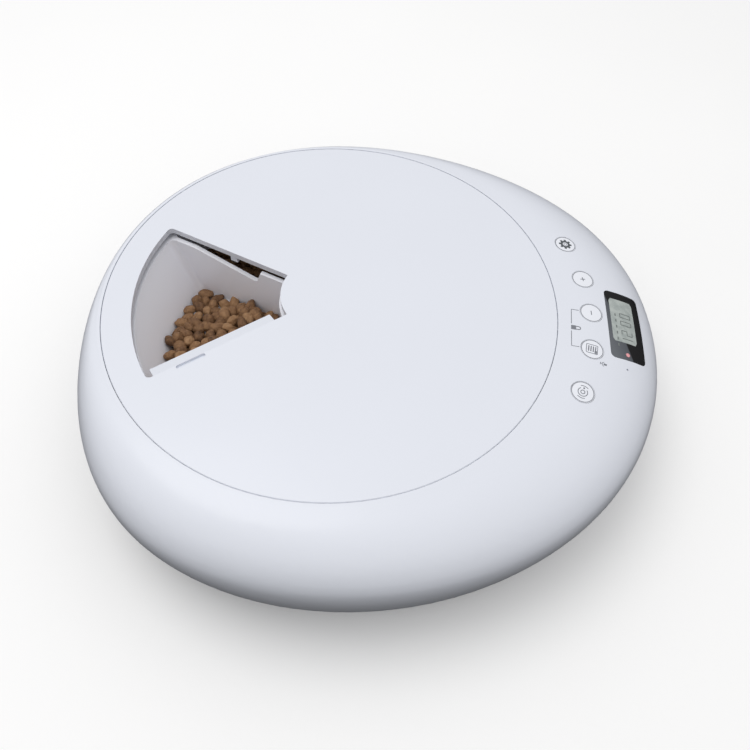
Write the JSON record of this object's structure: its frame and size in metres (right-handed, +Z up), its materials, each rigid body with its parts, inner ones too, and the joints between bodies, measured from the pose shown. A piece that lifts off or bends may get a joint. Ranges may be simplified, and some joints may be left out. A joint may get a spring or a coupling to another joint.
{
  "type": "automatic pet feeder",
  "caption": "Low round pet feeder: a turning tray of food compartments under a flush lid with one wedge opening, and a button and display panel on its nose.",
  "frame": {"origin": "on the tray's axis, in the plane the rubber feet stand on (the middle foot's underside)", "axes": "+X from the food opening in the lid towards the control panel, +Z up"},
  "size_m": [0.3572, 0.3288, 0.086],
  "materials": {
    "white_gloss": "smooth satin-gloss moulded plastic",
    "white_tray": "smooth moulded plastic",
    "white_matte": "fine matte moulded plastic",
    "button_white": "satin",
    "black_rubber": "matte",
    "grey_rubber": "matte silicone",
    "window_black": "polished smoked lens",
    "lcd_glass": "reflective grey-green",
    "led_red": "translucent",
    "acetal": "acetal",
    "steel": "zinc-plated",
    "brass": "turned",
    "board_green": "solder mask",
    "black_plastic": "moulded",
    "cell_wrap": "printed sleeve"
  },
  "bodies": {
    "feeder_body": {"upper_housing": "white_gloss", "base_pan": "white_matte", "hub_bush": "brass", "idler_pin": "steel", "motor": "steel", "motor_bracket": "steel", "position_sensor": "black_plastic", "sensor_board": "board_green", "main_board": "board_green", "board_components": "black_plastic", "panel_board": "board_green", "key_mat": "grey_rubber", "display_window": "window_black", "lcd_module": "lcd_glass", "status_led": "led_red", "microphone": "steel", "speaker": "black_plastic", "power_inlet": "black_plastic", "battery_holder": "white_matte", "battery_cells": "cell_wrap", "battery_contacts": "steel", "door_contacts": "steel", "battery_door": "white_matte", "door_screw": "steel", "case_screws": "steel", "bracket_screws": "steel", "rubber_feet": "black_rubber"},
    "lid_group": {"lid": "white_gloss", "food_wiper": "white_gloss"},
    "turntable": {"food_tray": "white_tray", "drive_hub": "acetal", "hub_gear": "acetal", "index_wheel": "black_plastic"},
    "idler": {"idler_gear": "acetal"},
    "motor_drive": {"motor_pinion": "brass", "motor_shaft": "steel"},
    "button_settings_key": {"button_settings": "button_white"},
    "button_plus_key": {"button_plus": "button_white"},
    "button_minus_key": {"button_minus": "button_white"},
    "button_schedule_key": {"button_schedule": "button_white"},
    "button_record_key": {"button_record": "button_white"}
  },
  "joints": [
    {"name": "lid_lift", "type": "slide", "parent": "feeder_body", "child": "lid_group", "axis": [0, 0, 1], "range_m": [0, 0.1]},
    {"name": "tray_spin", "type": "hinge", "parent": "feeder_body", "child": "turntable", "pos_m": [0, 0, 0.04], "axis": [0, 0, 1], "continuous": true},
    {"name": "idler_spin", "type": "hinge", "parent": "feeder_body", "child": "idler", "pos_m": [0.01875, -0.03248, 0.018], "axis": [0, 0, 1], "continuous": true},
    {"name": "pinion_spin", "type": "hinge", "parent": "feeder_body", "child": "motor_drive", "pos_m": [0.04275, -0.03248, 0.022], "axis": [0, 0, 1], "continuous": true},
    {"name": "button_settings_press", "type": "slide", "parent": "feeder_body", "child": "button_settings_key", "axis": [-0.132, -0.0379, -0.9905], "range_m": [0, 0.0008], "stiffness_N_per_m": 600},
    {"name": "button_plus_press", "type": "slide", "parent": "feeder_body", "child": "button_plus_key", "axis": [-0.1247, -0.0076, -0.9922], "range_m": [0, 0.0008], "stiffness_N_per_m": 600},
    {"name": "button_minus_press", "type": "slide", "parent": "feeder_body", "child": "button_minus_key", "axis": [-0.1204, 0.0158, -0.9926], "range_m": [0, 0.0008], "stiffness_N_per_m": 600},
    {"name": "button_schedule_press", "type": "slide", "parent": "feeder_body", "child": "button_schedule_key", "axis": [-0.1163, 0.0378, -0.9925], "range_m": [0, 0.0008], "stiffness_N_per_m": 600},
    {"name": "button_record_press", "type": "slide", "parent": "feeder_body", "child": "button_record_key", "axis": [-0.1108, 0.0653, -0.9917], "range_m": [0, 0.0008], "stiffness_N_per_m": 600}
  ],
  "couplings": [
    {"joint": "idler_spin", "follows": "tray_spin", "ratio": -4},
    {"joint": "pinion_spin", "follows": "tray_spin", "ratio": 12}
  ]
}
